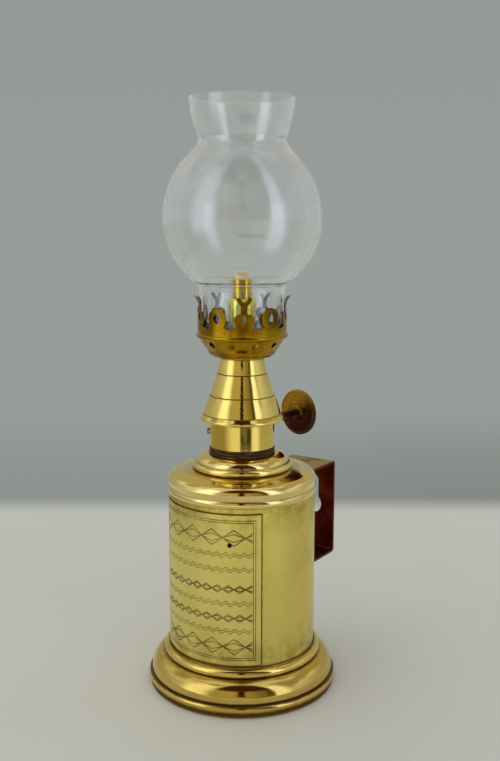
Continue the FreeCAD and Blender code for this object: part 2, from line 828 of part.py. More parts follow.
def gallery_bowl():
    """Pierced bowl that carries the crown and lets air in to the flame."""
    shell = spun("bowl_shell", [
        ("tube_radius", "0"),
        ("bowl_floor_radius", "0"),
        ("bowl_bend_radius", "bowl_bend_height", "bowl_bend_share"),
        ("bowl_rim_radius", "bowl_rim_height", "bowl_rim_share"),
        ("crown_radius", "bowl_height", "bowl_bead_share"),
    ], "bowl_gauge")
    holes = []
    for number in range(int(worked("bowl_holes"))):
        hole = rod("air_hole_%d" % number, "bowl_hole_radius", "bowl_floor_radius",
                   "crown_radius + cut_overrun", "bowl_hole_height",
                   "bowl_hole_turn + %d * 360 / bowl_holes" % number)
        holes.append(hole)
    return place("gallery_bowl", cut("bowl", shell, *holes), BOWL_SEAT)


def gallery_crown():
    """Pierced ring of forked leaves and closed loops by turns, with a ledge for the globe."""
    body = doc.addObject("PartDesign::Body", "crown")
    body_revolution(body, [
        (CROWN_BORE + " - crown_ledge_width", "0"),
        ("crown_radius", "0"),
        ("crown_radius", "crown_flare_start"),
        ("crown_flare_radius", "crown_height", "-crown_flare_share"),
        ("crown_flare_radius - crown_gauge", "crown_height"),
        (CROWN_BORE, "crown_flare_start", "crown_flare_share"),
        (CROWN_BORE, "crown_gauge"),
        (CROWN_BORE + " - crown_ledge_width", "crown_gauge"),
    ])
    reach = "crown_flare_radius + cut_overrun"
    spacing = "(360 / crown_pairs / 2)"
    half = "(crown_radius * sin(%s / 2))" % spacing
    above = "crown_height + cut_overrun"
    gap = [
        ("-%s + leaf_root_width / 2" % half, "crown_band_height", "-leaf_foot_share"),
        ("%s - leaf_root_width / 2" % half, "crown_band_height", "leaf_root_share"),
        ("%s - leaf_width / 2" % half, "leaf_belly_height", "-leaf_foot_share"),
        (half, "loop_height", "-loop_share"),
        (half + " + cut_overrun", "loop_height"),
        (half + " + cut_overrun", above),
        ("-%s + fork_width / 2" % half, above),
        ("-%s + fork_width / 2" % half, "crown_height"),
        ("-%s + fork_neck_width / 2" % half, "fork_neck_height", "-fork_horn_share"),
        ("-%s + fork_neck_width / 2" % half, "fork_stem_height"),
        ("-%s + leaf_width / 2" % half, "leaf_belly_height", "-fork_shoulder_share"),
    ]
    mirrored = [("-(%s)" % x, y, *("-(%s)" % share for share in bulge)) for x, y, *bulge in gap]

    def eye(width, low, high):
        middle = "(%s + %s) / 2" % (low, high)
        return [
            ("0", low, "eye_share"),
            (width + " / 2", middle, "eye_share"),
            ("0", high, "eye_share"),
            ("-%s / 2" % width, middle, "eye_share"),
        ]

    notch = [
        ("0", "fork_notch_height"),
        ("fork_notch_width / 2", "crown_height"),
        ("fork_notch_width / 2", above),
        ("-fork_notch_width / 2", above),
        ("-fork_notch_width / 2", "crown_height"),
    ]
    cuts = []
    for name, spin, points in (
            ("gap_after_fork", spacing + " / 2", gap),
            ("gap_before_fork", "-%s / 2" % spacing, mirrored),
            ("eye_of_fork", "0", eye("fork_eye_width", "fork_eye_low", "fork_eye_high")),
            ("notch_of_fork", "0", notch),
            ("eye_of_loop", spacing, eye("loop_eye_width", "loop_eye_low", "loop_eye_high"))):
        sketch = body_sketch(body, name, "XZ_Plane", points, spin)
        cuts.append(body_pocket(body, sketch, reach, back=True))
    body_ring(body, cuts, "crown_pairs")
    return place("gallery_crown", body, CROWN_SEAT, "crown_turn")


def shaft_bush():
    bore = "(shaft_radius + shaft_clearance)"
    bush = turned("bush_solid", [
        ("bush_start", bore),
        ("bush_end", bore),
        ("bush_end", "bush_radius"),
        ("bush_start", "bush_radius"),
    ], along="x")
    return place("shaft_bush", bush, SHAFT_SEAT, "knob_azimuth")


def collar_screw():
    """Cheese-head screw with a slot."""
    face = "collar_radius + screw_head_height"
    screw = turned("screw_solid", [
        ("collar_radius - screw_shank_length", "0"),
        (face, "0"),
        (face, "screw_head_radius - screw_slot_depth / 2"),
        (face + " - screw_slot_depth / 2", "screw_head_radius", "-quarter_turn_share"),
        ("collar_radius", "screw_head_radius"),
        ("collar_radius", "screw_shank_radius"),
        ("collar_radius - screw_shank_length", "screw_shank_radius"),
    ], along="x")
    slot = block("screw_slot", (
        face + " - screw_slot_depth",
        "-screw_head_radius - cut_overrun",
        "-screw_slot_width / 2",
    ), ("screw_slot_depth + cut_overrun", "2 * (screw_head_radius + cut_overrun)", "screw_slot_width"))
    slotted = cut("screw", screw, slot)
    return place("collar_screw", slotted, COLLAR_SEAT + " + screw_height", "screw_azimuth")


def knob_shaft():
    shaft = rod("shaft_solid", "shaft_radius", "shaft_start", "knob_distance + knob_gauge + shaft_tail")
    return place("knob_shaft", shaft, SHAFT_SEAT, "knob_azimuth")


def pinion():
    """Small toothed wheel on the inner end of the shaft."""
    body = doc.addObject("PartDesign::Body", "pinion_wheel")
    root = "(pinion_pitch_radius - pinion_dedendum)"
    tip = "(pinion_pitch_radius + pinion_addendum)"
    hub = body.newObject("Sketcher::SketchObject", "hub_outline")
    hub.AttachmentSupport = (origin_plane(body, "XZ_Plane"), [""])
    hub.MapMode = "FlatFace"
    draw(hub, [
        ("pinion_start", "shaft_radius"),
        ("pinion_start + pinion_length", "shaft_radius"),
        ("pinion_start + pinion_length", root),
        ("pinion_start", root),
    ])
    wheel = body.newObject("PartDesign::Revolution", "hub_revolution")
    wheel.Profile = hub
    wheel.ReferenceAxis = (hub, ["H_Axis"])
    wheel.Angle = 360
    tooth = body.newObject("Sketcher::SketchObject", "tooth_outline")
    tooth.AttachmentSupport = (origin_plane(body, "YZ_Plane"), [""])
    tooth.MapMode = "FlatFace"
    bind(tooth, AttachmentOffset__Base__z="pinion_start")
    sunk = "(%s * cos(360 / pinion_teeth / 4))" % root
    draw(tooth, [
        (sunk, "-" + TOOTH_HALF),
        ("pinion_pitch_radius", "-" + TOOTH_HALF),
        (tip, "-%s * pinion_tip_share" % TOOTH_HALF, "pinion_flank_share"),
        (tip, "%s * pinion_tip_share" % TOOTH_HALF),
        ("pinion_pitch_radius", TOOTH_HALF, "pinion_flank_share"),
        (sunk, TOOTH_HALF),
    ])
    pad = body.newObject("PartDesign::Pad", "tooth_pad")
    pad.Profile = tooth
    bind(pad, Length="pinion_length")
    ring = body.newObject("PartDesign::PolarPattern", "tooth_ring")
    ring.Originals = [pad]
    ring.Axis = (origin_plane(body, "X_Axis"), [""])
    ring.Angle = 360
    bind(ring, Occurrences="pinion_teeth")
    body.Tip = ring
    return place("pinion", body, SHAFT_SEAT, "knob_azimuth")


def control_knob():
    """Stamped disc with a rolled rim and a raised hub."""
    inner = "knob_distance"
    outer = "(knob_distance + knob_gauge)"
    disc = turned("knob_disc", [
        (inner + " - knob_hub_height", "shaft_radius"),
        (outer, "shaft_radius"),
        (outer, "knob_radius - knob_rim_width"),
        (outer + " + knob_dish", "knob_radius - knob_rim_width / 2", "-knob_rim_share"),
        (outer, "knob_radius", "-knob_rim_share"),
        (inner, "knob_radius"),
        (inner + " - knob_dish", "knob_radius - knob_rim_width / 2", "-knob_rim_share"),
        (inner, "knob_radius - knob_rim_width", "-knob_rim_share"),
        (inner, "knob_hub_radius"),
        (inner + " - knob_hub_height", "knob_hub_radius - knob_hub_height", "knob_hub_share"),
    ], along="x")
    return place("control_knob", disc, SHAFT_SEAT, "knob_azimuth")


def wick_carrier():
    """Tube that grips the wick and slides in the wick tube."""
    tube = turned("carrier_solid", [
        (WICK, "-carrier_drop"),
        (CARRIER, "-carrier_drop"),
        (CARRIER, "carrier_rise"),
        (WICK, "carrier_rise"),
    ])
    return place("wick_carrier", tube, SHAFT_SEAT)


def wick_rack():
    """Toothed strip soldered to the carrier, its teeth towards the pinion."""
    tip = "(pinion_pitch_radius - rack_addendum)"
    root = "(pinion_pitch_radius + rack_dedendum)"
    slope = "tan(rack_pressure_angle)"
    tip_half = "(%s - rack_addendum * %s)" % (TOOTH_HALF, slope)
    root_half = "(%s + rack_dedendum * %s)" % (TOOTH_HALF, slope)
    pairs = int(worked("rack_length / 2 / " + TOOTH_PITCH))
    edge = [(root, "-rack_length / 2")]
    for number in range(-pairs, pairs):
        middle = "(%.1f * %s)" % (number + 0.5, TOOTH_PITCH)
        edge += [
            (root, "%s - %s" % (middle, root_half)),
            (tip, "%s - %s" % (middle, tip_half)),
            (tip, "%s + %s" % (middle, tip_half)),
            (root, "%s + %s" % (middle, root_half)),
        ]
    edge += [
        (root, "rack_length / 2"),
        (root + " + rack_web", "rack_length / 2"),
        (root + " + rack_web", "-rack_length / 2"),
    ]
    sketch = doc.addObject("Sketcher::SketchObject", "rack_line")
    sketch.Placement = FreeCAD.Placement(FreeCAD.Vector(), SIDEWAYS)
    draw(sketch, edge)
    strip = extruded("rack_strip", sketch, RACK_END, (1, 0, 0))
    bed = doc.addObject("Part::Cylinder", "carrier_bed")
    bind(bed, Radius=CARRIER, Height="rack_length + 2 * cut_overrun")
    bind(bed, Placement__Base__z="-rack_length / 2 - cut_overrun")
    relief = block("shaft_relief", ("0", "0", "-rack_length / 2 - cut_overrun"), (
        "pinion_start - rack_side_gap", root, "rack_length + 2 * cut_overrun"))
    return place("wick_rack", cut("rack", strip, bed, relief), SHAFT_SEAT, "knob_azimuth")


def wick():
    top = "(%s + tube_rise + wick_rise)" % BOWL_SEAT
    swell = "(%s - wick_gap)" % TUBE_BORE
    cord = turned("wick_cord", [
        ("0", "wick_root"),
        (WICK, "wick_root"),
        (WICK, SHAFT_SEAT + " + carrier_rise"),
        (swell, SHAFT_SEAT + " + carrier_rise"),
        (swell, top + " - wick_rise"),
        (swell + " - wick_round", top, "wick_round_share"),
        ("0", top),
    ])
    return place("wick", cord)


def glass_globe():
    """Blown globe with a short foot neck and a flared mouth."""
    shell = spun("globe_shell", [
        ("globe_neck_radius", "0"),
        ("globe_neck_radius", "globe_neck_height"),
        ("globe_root_radius", "globe_root_height", "-globe_root_share"),
        ("globe_radius", "globe_belly_height", "globe_lower_share"),
        ("globe_top_radius", "globe_top_height", "globe_upper_share"),
        ("globe_waist_radius", "globe_waist_height", "-globe_waist_share"),
        ("globe_mouth_radius", "globe_height", "globe_mouth_share"),
    ], "globe_wall")
    return place("glass_globe", shell, GLOBE_SEAT)


for make in (
        foot, foot_plate, reservoir_body, label_plate, reservoir_shoulder, neck_ring,
        cotton_filling, filling_screen, wall_bracket, neck_washer, burner_collar, guide_plate,
        cone_flange, burner_cone, wick_tube, tube_sleeve, gallery_bowl, gallery_crown,
        shaft_bush, collar_screw, knob_shaft, pinion, control_knob, wick_carrier, wick_rack,
        wick, glass_globe):
    make()
doc.recompute()

os.makedirs("parts", exist_ok=True)
for item in doc.Objects:
    if "Invalid" in item.State or "Error" in item.State:
        raise RuntimeError("%s did not build: %s" % (item.Label, item.State))
for part in parts:
    if part.Shape.isNull() or not part.Shape.isValid():
        raise RuntimeError("%s has no sound shape" % part.Label)
for part in parts:
    part.Shape.exportStep("parts/%s.step" % part.Label)
    print("%-20s %2d solid, %10.2f mm3" % (part.Label, len(part.Shape.Solids), part.Shape.Volume))
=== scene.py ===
import bpy
import math
import random
from mathutils import Matrix, Vector, noise as lumps


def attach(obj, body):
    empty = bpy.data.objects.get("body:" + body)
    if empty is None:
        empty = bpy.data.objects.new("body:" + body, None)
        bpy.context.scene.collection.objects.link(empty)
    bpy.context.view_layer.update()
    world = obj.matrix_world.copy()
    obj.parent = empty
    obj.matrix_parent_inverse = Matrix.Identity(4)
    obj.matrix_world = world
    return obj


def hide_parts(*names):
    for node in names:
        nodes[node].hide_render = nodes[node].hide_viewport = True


# Looks of the gasoline safety lamp. Lengths in metres, in the frame of the CAD part.
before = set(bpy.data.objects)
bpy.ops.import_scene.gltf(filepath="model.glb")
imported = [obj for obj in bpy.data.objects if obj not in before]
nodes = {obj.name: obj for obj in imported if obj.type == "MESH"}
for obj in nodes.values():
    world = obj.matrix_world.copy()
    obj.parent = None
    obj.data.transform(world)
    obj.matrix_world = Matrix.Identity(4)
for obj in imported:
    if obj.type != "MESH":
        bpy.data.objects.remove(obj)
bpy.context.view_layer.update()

MM = 0.001
DEGREES = 180 / math.pi
PICTURE = (500, 761)

# Camera, fitted to the ellipses of foot, can, bowl and globe
CAMERA_AZIMUTH = math.radians(-56.0)
CAMERA_DISTANCE = 393.2 * MM
CAMERA_HEIGHT = 195.3 * MM
CAMERA_PITCH = math.radians(9.70)
CAMERA_YAW = math.radians(0.47)
CAMERA_ROLL = math.radians(-0.1)
FOCAL_PIXELS = 973.6
SENSOR = 36.0
NEAR_CLIP = 0.01
FAR_CLIP = 20.0

# Directions seen from above: towards the camera, and to the right in the picture
TO_CAMERA = Vector((math.cos(CAMERA_AZIMUTH), math.sin(CAMERA_AZIMUTH), 0))
TO_RIGHT = Vector((-TO_CAMERA.y, TO_CAMERA.x, 0))

# Front plate of the can, as a strip round the can
CAN_RADIUS = 30.4 * MM
PLATE_HALF = math.radians(96.5 / 2) * CAN_RADIUS
PLATE_LOW = 18.2 * MM
PLATE_TOP = 80.2 * MM
PLATE_MIDDLE = (PLATE_LOW + PLATE_TOP) / 2
BORDER = 2.2 * MM
PIT_ALONG = 13.2 * MM
PIT_HEIGHT = 68.0 * MM
PIT_RADIUS = 0.95 * MM
PIT_BLUR = 0.25 * MM

# Engraving of the front plate: half its lines' width, rows of lozenges as height, pitch and half their
# height in millimetres, heights of the waved lines in millimetres, and the waves' pitch and half height
LINE_HALF = 0.17 * MM
LOZENGE_ROWS = ((71.0, 9.0, 3.2), (26.0, 9.0, 3.2), (50.0, 4.5, 1.5), (38.0, 4.5, 1.5))
WAVE_ROWS = (64.5, 63.5, 58.5, 57.5, 44.5, 43.5, 33.0, 32.0)
WAVE_PITCH = 3.6 * MM
WAVE_TALL = 0.5 * MM

# Heights where the stains near the can's ends begin and where they are full
LOW_STAIN = (34 * MM, 18 * MM)
TOP_STAIN = (68 * MM, 82 * MM)

# Heights where the brown of the flame begins and is full, and where the foot's darkening towards the bottom
# does
FLAME_BROWN = (150 * MM, 162 * MM)
FOOT_DARKENING = (20 * MM, 12 * MM)

# Knob: height of its middle, its distance right of the axis, and how far from it, up and left along a
# slant, the painted light that turns it golden begins
KNOB_HEIGHT = 110.3 * MM
KNOB_ASIDE = 24.0 * MM
KNOB_LIGHT_START = 6.8 * MM
SLANT = 0.7

# Heights where the strap's top, painted lit, begins and is full, and where the globe's haze does
STRAP_LIT_TOP = (70 * MM, 78 * MM)
HAZE = (160 * MM, 180 * MM)

# Seams and grooves that hold old polish, and the foot's lip in painted shade: height and half width in
# millimetres, and how dark it is
# The foot's first band darkens its bottom lip beside the table: painted shade
FOOT_SEAMS = ((1.3, 0.85, 1.0), (5.15, 0.6, 0.95), (13.4, 0.45, 0.6), (17.2, 0.3, 0.8))
SHOULDER_SEAMS = ((82.4, 0.25, 0.8), (85.3, 0.2, 0.7), (91.9, 0.3, 0.3))
RING_SEAMS = ((92.3, 0.35, 0.3), (95.2, 0.2, 0.5))
CONE_SEAMS = ((114.7, 0.3, 0.7), (122.45, 0.22, 0.9), (131.45, 0.22, 0.9))

# Linear colours of polished brass and its stains, of old polish and painted shade in corners, and of pits
# and engraved lines
BRIGHT_BRASS = (0.85, 0.64, 0.18)
DEEP_BRASS = (0.50, 0.31, 0.045)
OLD_POLISH_AND_SHADE = (0.060, 0.022, 0.004)
PIT_BROWN = (0.10, 0.05, 0.01)

# Share of the sky that open metal sees, and one that a corner sees, deep in painted shade and old polish
SKY_OPEN = 0.85
SKY_DEEP = 0.35

# How well a bevelled normal agrees with the true one on flat metal, and on a sharp edge
NORMAL_FLAT = 0.995
NORMAL_SHARP = 0.90

# Wick: thin in the lower part where its carrier holds it, full width above, and a domed end
WICK_LOW = 26.0 * MM
WICK_NARROW_END = 160.3 * MM
WICK_TOP = 173.0 * MM
WICK_RADIUS = 3.28 * MM
WICK_NARROW = 2.85 / 3.28
CORE_SIDES = 16
PLAIT_PITCH = 16.0 * MM
PLAIT_STRANDS = 8
PLAIT_STEPS = 28
PLAIT_SWING = 0.20 * MM
PLAIT_PAST_FRAY = 0.9 * MM
TAPER_BEFORE_FRAY = 0.4 * MM
TAPER_PAST_FRAY = 1.6 * MM
TAPER_SHARE = 0.30
YARN_WIDE = 0.66 * MM
YARN_THICK = 0.27 * MM
YARN_SIDES = 8

# Frayed end of the wick: where it starts, its fibres, the radius of the ring of their roots and of the
# dome as shares of the wick's radius, half a fibre's thickness at its root, and how much it loses a step
FRAY_START = 170.7 * MM
FRAY_SEED = 11
FRAY_FIBRES = 700
ROOT_SHARE = 0.72
DOME_SHARE = 1.08
FRAY_STEPS = 5
FRAY_SIDES = 4
FRAY_ROOT = 0.10 * MM
FRAY_THINNING = 0.011 * MM
FRAY_CURL = 0.25 * MM

# Cotton wadding in the can, with a bore for the wick: its sizes, the steps of its mesh, the depth of
# its dents, the share of their direction that is level, and its lumps per metre
WAD_LOW = 14.2 * MM
WAD_TOP = 77.9 * MM
WAD_RADIUS = 29.6 * MM
WAD_CORNER = 2.5 * MM
WAD_BORE = 3.35 * MM
WAD_SIDES = 96
WAD_FLOOR_STEPS = 9
WAD_CORNER_STEPS = 4
WAD_SIDE_STEPS = 24
WAD_TOP_STEPS = 12
WAD_DENT = 0.9 * MM
DENT_LEVEL_SHARE = 0.6
COARSE_LUMPS = 180
FINE_LUMPS = 520

# Table: half its width, the place where it ends and the wall begins, behind the lamp, and the size of
# the soft clouds in its colour
TABLE_HALF = 4.0
TABLE_END = 0.246
TABLE_BLUR = 0.022
CLOUD_SIZE = 0.12

# Wall as the camera sees it on the table's plane: where its low part fades upward, and where the
# darker corner begins to the right
WALL_FADE = (0.26, 0.60)
CORNER_FADE = (-0.05, 0.15)

# Distances from the axis where what metal mirrors takes over from the table itself
MIRROR_START = (0.22, 0.34)

# Angles round the axis in degrees, from the camera to the right in the picture. Each row says where
# something mirrored begins, is full, begins to fade and ends.
LEFT_WINDOW = (-84.0, -66.0, -54.0, -38.0)
RIGHT_WINDOW = (40.0, 44.0, 54.0, 66.0)
DIM_ROOM = (-46.0, -34.0, 39.0, 43.0)
DARK_BOX = (-10.0, -4.0, 28.0, 37.0)
GLASS_LEFT_WINDOW = (-84.0, -66.0, -52.0, -36.0)
GLASS_RIGHT_WINDOW = (40.0, 46.0, 56.0, 68.0)
GLASS_DIM_FRONT = (-24.0, -14.0, 34.0, 44.0)

# The same for the dark box's distance from the axis
BOX_REACH = (0.400, 0.430, 0.53, 0.60)

# Distances from the axis where the windows begin to show on the table and are full, in metal and in glass
WINDOW_REACH = (0.55, 1.3)
GLASS_REACH = (0.35, 0.8)


def linear(red, green, blue):
    """Linear colour from an sRGB one of 0 to 255."""
    def one(value):
        value /= 255.0
        return value / 12.92 if value <= 0.04045 else ((value + 0.055) / 1.055) ** 2.4
    return (one(red), one(green), one(blue))


WALL = linear(151, 157, 153)
WALL_HIGH = linear(148, 153, 154)
WALL_LOW = linear(141, 147, 144)
WALL_CORNER = linear(132, 138, 133)
TABLE_GREY = linear(188, 188, 182)
TABLE_WARM = linear(186, 186, 178)


class Nodes:
    """Short hand for building a node tree."""

    def __init__(self, tree):
        self.tree = tree
        tree.nodes.clear()

    def put(self, socket, value):
        """Link a socket to another, or set it to a number, a vector or a colour."""
        if isinstance(value, bpy.types.NodeSocket):
            self.tree.links.new(value, socket)
        elif socket.type == "RGBA":
            socket.default_value = (*value, 1.0)
        else:
            socket.default_value = value

    def add(self, kind, links=None, **settings):
        node = self.tree.nodes.new(kind)
        for key, value in settings.items():
            setattr(node, key, value)
        for key, value in (links or {}).items():
            self.put(node.inputs[key], value)
        return node

    def math(self, operation, a, b=0.0, c=None, clamp=False):
        links = {0: a, 1: b}
        if c is not None:
            links[2] = c
        return self.add("ShaderNodeMath", links, operation=operation, use_clamp=clamp).outputs[0]

    def plus(self, a, b):
        return self.math("ADD", a, b)

    def minus(self, a, b):
        return self.math("SUBTRACT", a, b)

    def times(self, a, b):
        return self.math("MULTIPLY", a, b)

    def larger(self, a, b):
        return self.math("MAXIMUM", a, b)

    def absolute(self, a):
        return self.math("ABSOLUTE", a)

    def scaled(self, value, scale, start):
        """Value times scale, plus start."""
        return self.math("MULTIPLY_ADD", value, scale, start)

    def step(self, value, low, high):
        """Smooth step from 0 at low to 1 at high, where low may be the larger."""
        node = self.add("ShaderNodeMapRange", {
            "Value": value, "From Min": low, "From Max": high, "To Min": 0.0, "To Max": 1.0,
        }, interpolation_type="SMOOTHSTEP")
        return node.outputs["Result"]

    def between(self, value, begin, full, fade, end):
        """1 from full to fade, and 0 before begin and after end."""
        return self.times(self.step(value, begin, full), self.step(value, end, fade))

    def mix(self, share, a, b):
        return self.add("ShaderNodeMix", {0: share, 6: a, 7: b}, data_type="RGBA").outputs[2]

    def tint(self, color, mask, strength, other):
        """Colour turned towards another by a mask times a strength."""
        return self.mix(self.times(mask, strength), color, other)

    def where(self):
        """Place in the frame of the part."""
        return self.add("ShaderNodeTexCoord").outputs["Object"]

    def parts(self, vector):
        """The x, y and z of a vector."""
        return self.add("ShaderNodeSeparateXYZ", {0: vector}).outputs

    def noise(self, vector, size, detail=3.0, rough=0.5):
        """Noise whose features are about as large as size, in the vector's unit."""
        node = self.add("ShaderNodeTexNoise", {
            "Vector": vector, "Scale": 1.0 / size, "Detail": detail, "Roughness": rough,
        })
        return node.outputs["Fac"]

    def stretch(self, vector, x, y, z):
        node = self.add("ShaderNodeVectorMath", {0: vector, 1: (x, y, z)}, operation="MULTIPLY")
        return node.outputs[0]

    def vector(self, x, y, z):
        return self.add("ShaderNodeCombineXYZ", {0: x, 1: y, 2: z}).outputs[0]

    def radius(self, x, y):
        return self.math("SQRT", self.plus(self.times(x, x), self.times(y, y)))

    def along(self, x, y, way):
        """Distance from the axis along a level direction."""
        return self.plus(self.times(x, way.x), self.times(y, way.y))

    def turn(self, x, y):
        """Angle round the axis in degrees, from the camera to the right in the picture."""
        angle = self.math("ARCTAN2", self.along(x, y, TO_RIGHT), self.along(x, y, TO_CAMERA))
        return self.times(angle, DEGREES)

    def ray_has(self, depth):
        """1 for a ray that has a depth of that kind."""
        return self.math("GREATER_THAN", self.add("ShaderNodeLightPath").outputs[depth], 0.5)


def new_material(name):
    material = bpy.data.materials.new(name)
    material.use_nodes = True
    return material, Nodes(material.node_tree)


def finish_shader(n, normal, color, roughness, **constants):
    """Principled surface from a linked normal, a colour and a roughness. The rest are plain numbers."""
    links = {"Base Color": color, "Roughness": roughness, "Normal": normal}
    shader = n.add("ShaderNodeBsdfPrincipled", links)
    for key, value in constants.items():
        shader.inputs[key.replace("_", " ")].default_value = value
    n.add("ShaderNodeOutputMaterial", {0: shader.outputs[0]})
    return shader


def bump(n, height, distance, strength, normal=None):
    links = {"Height": height, "Distance": distance, "Strength": strength}
    if normal is not None:
        links["Normal"] = normal
    return n.add("ShaderNodeBump", links).outputs[0]


def crevice(n, depth):
    """Share of painted shade and old polish in corners, from how little sky they see: 1 deep in a corner
    and 0 on open surface.
    """
    open_sky = n.add("ShaderNodeAmbientOcclusion", {"Distance": depth}, samples=6).outputs["AO"]
    return n.step(open_sky, SKY_OPEN, SKY_DEEP)


def edges(n, width):
    """Share of wear, 1 on a sharp edge and 0 a width away from it."""
    round_normal = n.add("ShaderNodeBevel", {"Radius": width}, samples=4).outputs[0]
    true_normal = n.add("ShaderNodeNewGeometry").outputs["Normal"]
    same = n.add("ShaderNodeVectorMath", {0: round_normal, 1: true_normal}, operation="DOT_PRODUCT")
    return n.step(same.outputs["Value"], NORMAL_FLAT, NORMAL_SHARP)


def turned_brass(name, bright, deep, roughness, stain=0.25, wear_color=None, spread=0.08, heated=0.5,
                 bands=(), waves=0.03 * MM, grime_and_shade=0.9):
    """Brass turned on a lathe: faint rings, soft stains, pits, worn edges, brown from the flame above, and
    darkening from old polish in seams and painted shade in corners.

    Each band is a height and half its width in millimetres, and how dark it is made: by old polish in
    seams, by painted shade on the foot's lip. Waves is the depth of uneven places, heated the share of
    brown, and the last argument the darkness of old polish in bands and of painted shade in corners.
    """
    material, n = new_material(name)
    where = n.where()
    x, y, z = n.parts(where)
    rings = n.noise(n.vector(n.times(n.radius(x, y), 0.25), 0.0, z), 0.5 * MM, 2.0)
    blot = n.noise(where, 13 * MM, 4.0, 0.6)
    streak = n.noise(n.stretch(where, 1.0, 1.0, 0.25), 4 * MM, 3.0, 0.6)
    pits = n.step(n.noise(where, 1.1 * MM, 2.0), 0.70, 0.78)
    color = n.tint(bright, n.step(blot, 0.42, 0.72), stain, deep)
    color = n.tint(color, n.step(streak, 0.50, 0.75), stain * 0.6, deep)
    color = n.tint(color, pits, min(1.0, stain * 2.0), PIT_BROWN)
    color = n.tint(color, edges(n, 0.4 * MM), 0.6, wear_color or bright)
    # Painted shade in corners, where little sky reaches, joined below by old polish in the seams
    dirt_and_shade = crevice(n, 1.8 * MM)
    ragged = n.scaled(n.noise(where, 3 * MM), 0.5 * MM, n.plus(z, -0.25 * MM))
    for height, half, strength in bands:
        away = n.absolute(n.minus(ragged, height * MM))
        band = n.times(n.step(away, half * 1.4 * MM, half * 0.6 * MM), strength)
        dirt_and_shade = n.larger(dirt_and_shade, band)
    color = n.tint(color, n.step(n.scaled(blot, 8 * MM, z), *FLAME_BROWN), heated, deep)
    color = n.tint(color, n.step(n.scaled(blot, 4 * MM, z), *FOOT_DARKENING), 0.35, deep)
    # Old polish and painted shade darken the colour
    color = n.tint(color, dirt_and_shade, grime_and_shade, OLD_POLISH_AND_SHADE)
    rough = n.scaled(blot, spread, roughness - spread / 2)
    rough = n.scaled(n.step(streak, 0.5, 0.8), spread, rough)
    rough = n.scaled(n.larger(pits, dirt_and_shade), 0.3, rough)
    normal = bump(n, rings, 0.004 * MM, 0.5)
    normal = bump(n, n.noise(where, 6 * MM, 2.0), waves, 0.35, normal)
    finish_shader(n, normal, color, rough, Metallic=1.0)
    return material


def round_can(n, x, y):
    """Distance round the can from the middle of its front plate."""
    return n.times(n.math("ARCTAN2", x, n.times(y, -1.0)), CAN_RADIUS)


def past_border(n, along, z):
    """Distance past the border of the front plate, below zero on the plate."""
    sideways = n.minus(n.absolute(along), PLATE_HALF)
    upward = n.minus(n.absolute(n.minus(z, PLATE_MIDDLE)), PLATE_TOP - PLATE_MIDDLE)
    return n.larger(sideways, upward)


def stained_ends(n, where, z, color):
    """Olive and brown stains in the metal near the top and the bottom of the can."""
    patchy = n.noise(where, 6 * MM, 4.0, 0.65)
    ends = n.larger(n.step(z, *LOW_STAIN), n.step(z, *TOP_STAIN))
    return n.tint(color, n.times(ends, n.step(patchy, 0.34, 0.66)), 0.6, (0.34, 0.23, 0.035))


def fine_rings(n, where):
    """Fine level scratches round the can, as a bumped normal."""
    scratches = n.noise(n.stretch(where, 0.03, 0.03, 1.0), 0.3 * MM, 2.0)
    return bump(n, scratches, 0.01 * MM, 0.4)


def can_brass():
    """Can in fine turned brass, dark with old polish along the border of the front plate."""
    material, n = new_material("can_brass")
    where = n.where()
    x, y, z = n.parts(where)
    blot = n.noise(where, 22 * MM, 4.0, 0.6)
    spots = n.noise(where, 2.2 * MM, 2.0)
    color = n.tint((0.79, 0.65, 0.17), n.step(blot, 0.40, 0.72), 0.45, (0.60, 0.45, 0.075))
    color = stained_ends(n, where, z, color)
    color = n.tint(color, n.step(spots, 0.72, 0.80), 0.7, (0.22, 0.13, 0.03))
    away = past_border(n, round_can(n, x, y), z)
    ragged = n.scaled(n.noise(where, 1.5 * MM), 0.6 * MM, away)
    # Dark with old polish along the plate's border, and painted shade in corners where little sky reaches
    dirt_and_shade = n.larger(n.step(ragged, 1.2 * MM, 0.5 * MM), crevice(n, 1.5 * MM))
    color = n.tint(color, dirt_and_shade, 0.9, (0.06, 0.028, 0.005))
    rough = n.scaled(dirt_and_shade, 0.3, n.scaled(blot, 0.14, 0.27))
    normal = bump(n, n.noise(where, 12 * MM, 2.0), 0.12 * MM, 0.3, fine_rings(n, where))
    finish_shader(n, normal, color, rough, Metallic=1.0)
    return material


def stroke(n, distance, half):
    """1 inside a line of the given half width."""
    return n.step(n.absolute(distance), half * 1.5, half * 0.5)


def lozenges(n, along, rise, pitch, tall, half):
    """Chain of lozenges along the plate."""
    folded = n.math("PINGPONG", n.plus(along, PLATE_HALF), pitch / 2)
    across = n.math("DIVIDE", n.minus(pitch / 2, folded), pitch / 2)
    upward = n.math("DIVIDE", n.absolute(rise), tall)
    share = n.minus(n.plus(across, upward), 1.0)
    return stroke(n, n.times(share, tall * 0.8), half)


def engraving(n, along, depth, z):
    """Lines of the front plate: a double border, chains of lozenges and waved lines."""
    figures = []
    for height, pitch, tall in LOZENGE_ROWS:
        rise = n.minus(z, height * MM)
        figures.append(lozenges(n, along, rise, pitch * MM, tall * MM, LINE_HALF * 1.3))
        figures.append(lozenges(n, along, rise, pitch * MM, tall * 0.5 * MM, LINE_HALF))
    for height in WAVE_ROWS:
        wave = n.math("SINE", n.times(along, 2 * math.pi / WAVE_PITCH))
        away = n.minus(n.minus(z, height * MM), n.times(wave, WAVE_TALL))
        figures.append(stroke(n, away, LINE_HALF))
    marks = figures[0]
    for figure in figures[1:]:
        marks = n.larger(marks, figure)
    marks = n.times(marks, n.step(depth, BORDER * 1.5, BORDER * 1.5 + 0.2 * MM))
    for border in (BORDER, BORDER * 1.4):
        marks = n.larger(marks, stroke(n, n.minus(depth, border), LINE_HALF))
    return marks


